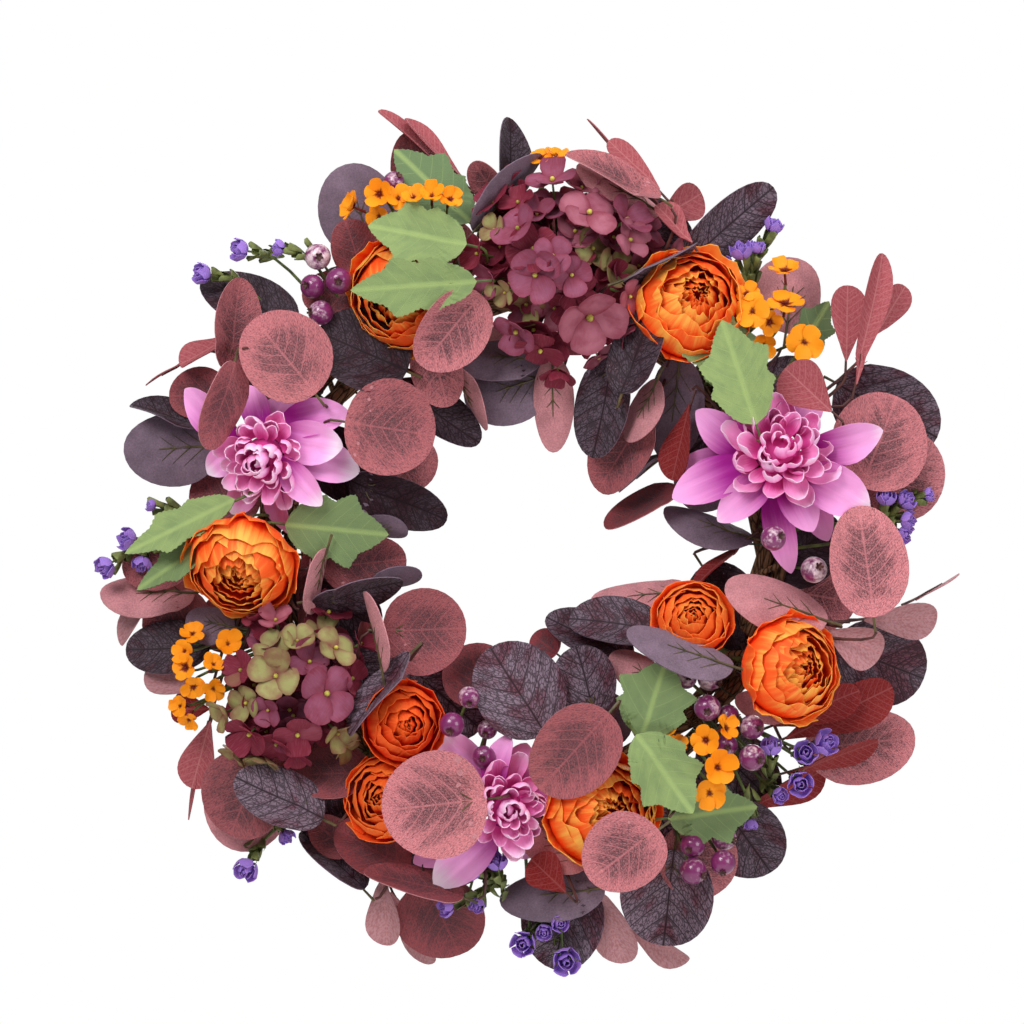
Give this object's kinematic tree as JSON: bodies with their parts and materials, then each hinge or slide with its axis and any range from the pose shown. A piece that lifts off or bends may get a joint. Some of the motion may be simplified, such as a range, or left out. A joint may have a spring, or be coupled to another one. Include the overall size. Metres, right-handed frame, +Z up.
{
  "type": "harvest door wreath",
  "caption": "Round door wreath of cloth eucalyptus leaves, peonies, roses, dahlias, hydrangeas and berries on a twisted vine ring, hung by a wire loop.",
  "frame": {"origin": "the point inside the top of the hanging loop's eye where a door hook bears", "axes": "+Z up, +X to the viewer's right, +Y into the door, so the wreath's face looks along -Y"},
  "size_m": [0.5237, 0.1024, 0.5196],
  "materials": {
    "berry": "painted foam ball, half gloss",
    "tie_wire": "green paper-coated florist wire, matt",
    "blossom_petal": "dyed polyester cloth",
    "dahlia_heart": "dyed polyester cloth, curled",
    "dahlia_petal": "dyed polyester cloth with pressed veins",
    "flower_stem": "moulded polyethylene over wire",
    "green_leaf": "printed and stiffened polyester cloth, matt",
    "loop_wire": "galvanised wire, satin",
    "hydrangea_petal": "dyed polyester cloth, mottled",
    "leaf_stem": "moulded polyethylene over wire",
    "paddle_leaf": "printed and stiffened polyester cloth, matt",
    "peony_petal": "dyed polyester cloth, shaded from red to yellow",
    "plum_leaf": "printed and stiffened polyester cloth, matt",
    "red_leaf": "printed and stiffened polyester cloth, matt",
    "rose_petal": "dyed polyester cloth, shaded from red to orange",
    "vine_cane": "dry bark, matt",
    "violet_bud": "moulded soft plastic",
    "wrap_vine": "dry bark, matt"
  },
  "bodies": {
    "root": {"berries_bottom_left": "berry", "berries_bottom_right": "berry", "berries_lower_right": "berry", "berries_right": "berry", "berries_upper_left": "berry", "binding_wires": "tie_wire", "blossoms_bottom": "blossom_petal", "blossoms_left": "blossom_petal", "blossoms_right": "blossom_petal", "blossoms_top": "blossom_petal", "dahlia_heart_bottom": "dahlia_heart", "dahlia_heart_left": "dahlia_heart", "dahlia_heart_right": "dahlia_heart", "dahlia_rays_bottom": "dahlia_petal", "dahlia_rays_left": "dahlia_petal", "dahlia_rays_right": "dahlia_petal", "flower_stems": "flower_stem", "green_leaves_bottom": "green_leaf", "green_leaves_left": "green_leaf", "green_leaves_right": "green_leaf", "green_leaves_top": "green_leaf", "hanging_loop": "loop_wire", "hydrangea_lower_left": "hydrangea_petal", "hydrangea_top": "hydrangea_petal", "leaf_stems": "leaf_stem", "paddle_leaves_bottom": "paddle_leaf", "paddle_leaves_left": "paddle_leaf", "paddle_leaves_right": "paddle_leaf", "paddle_leaves_upper_right": "paddle_leaf", "peony_bottom": "peony_petal", "peony_left": "peony_petal", "peony_right": "peony_petal", "peony_top_left": "peony_petal", "peony_top_right": "peony_petal", "plum_leaves_bottom": "plum_leaf", "plum_leaves_left": "plum_leaf", "plum_leaves_lower_left": "plum_leaf", "plum_leaves_right": "plum_leaf", "plum_leaves_top": "plum_leaf", "plum_leaves_upper_left": "plum_leaf", "red_leaves_bottom": "red_leaf", "red_leaves_left": "red_leaf", "red_leaves_lower_left": "red_leaf", "red_leaves_lower_right": "red_leaf", "red_leaves_top": "red_leaf", "red_leaves_upper_left": "red_leaf", "red_leaves_upper_right": "red_leaf", "rose_bottom_left": "rose_petal", "rose_lower_left": "rose_petal", "rose_right": "rose_petal", "vine_cane_1": "vine_cane", "vine_cane_2": "vine_cane", "vine_cane_3": "vine_cane", "violets_bottom": "violet_bud", "violets_left": "violet_bud", "violets_lower_right": "violet_bud", "violets_right": "violet_bud", "violets_upper_left": "violet_bud", "violets_upper_right": "violet_bud", "wrap_vine": "wrap_vine"}
  },
  "joints": []
}
